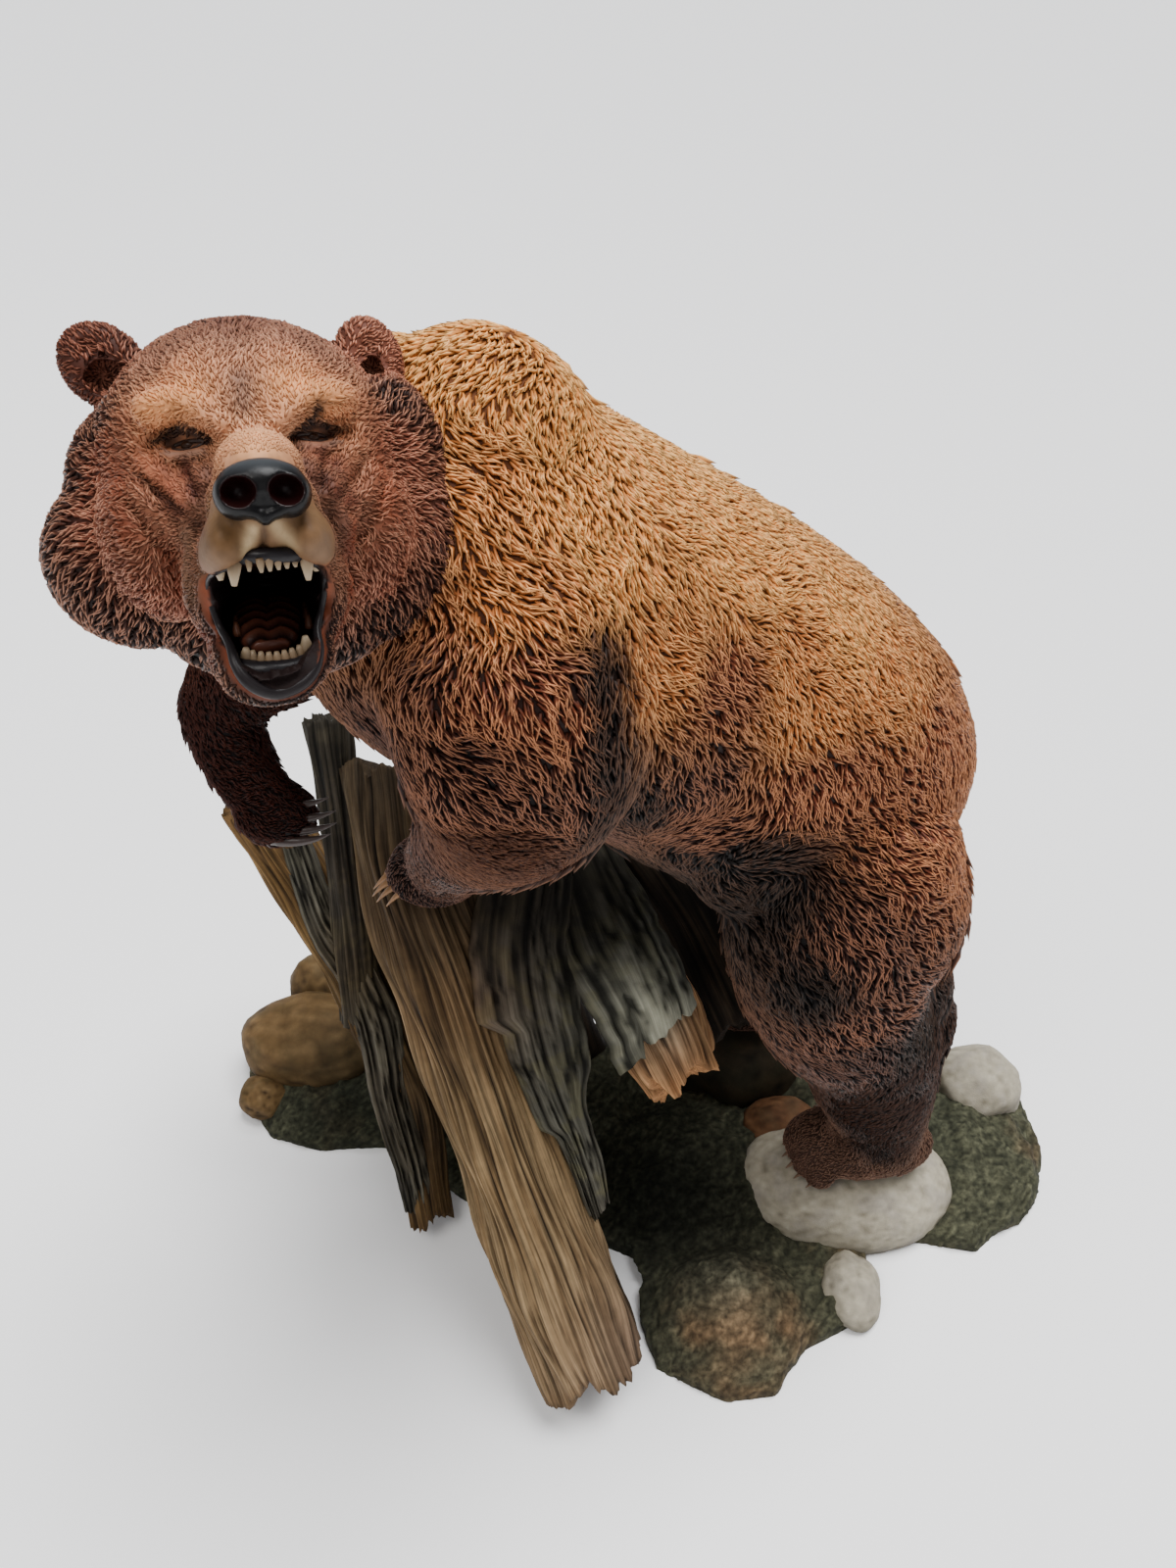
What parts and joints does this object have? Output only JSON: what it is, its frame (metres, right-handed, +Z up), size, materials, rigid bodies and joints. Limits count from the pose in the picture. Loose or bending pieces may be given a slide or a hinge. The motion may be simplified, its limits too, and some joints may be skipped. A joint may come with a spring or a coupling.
{
  "type": "bear statue",
  "caption": "Resin statue of a roaring bear that climbs over leaning driftwood, on a low base of stones and moss.",
  "frame": {"origin": "on the flat underside of the base, under the pile of driftwood", "axes": "+Z up, +X towards the bear's hind end, -Y towards the viewer whom the bear faces"},
  "size_m": [0.3038, 0.1799, 0.3163],
  "materials": {
    "bear": "cold-cast resin, painted reddish brown with golden tan dry-brushed fur, satin",
    "base": "cold-cast resin, painted as weathered wood, grey bark, pale stone and dark moss, matt"
  },
  "bodies": {
    "root": {"bear": "bear", "base": "base"}
  },
  "joints": []
}
